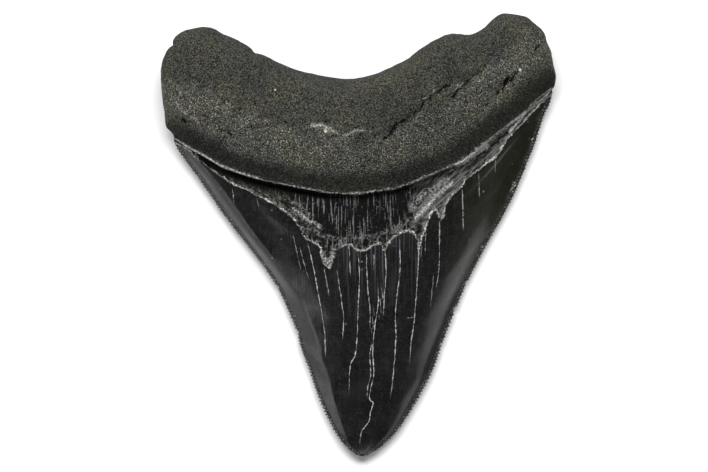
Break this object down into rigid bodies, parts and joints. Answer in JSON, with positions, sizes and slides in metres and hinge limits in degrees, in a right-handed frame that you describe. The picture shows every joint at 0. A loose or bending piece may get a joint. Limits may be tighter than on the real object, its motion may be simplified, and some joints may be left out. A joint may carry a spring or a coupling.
{
  "type": "fossil megalodon tooth",
  "caption": "Large triangular fossil shark tooth with a dark glossy serrated crown and a thick two-lobed root, lying on its flat labial face.",
  "frame": {"origin": "middle of the tooth's footprint, on the surface that it lies on", "axes": "+Y from the tip towards the root, +Z out of the domed lingual face, +X to the right as seen on that face with the root up"},
  "size_m": [0.0986, 0.1106, 0.025],
  "materials": {
    "fossil": "glossy near-black enamel on the crown, dull dark grey sandy root"
  },
  "bodies": {
    "root": {"tooth": "fossil"}
  },
  "joints": []
}
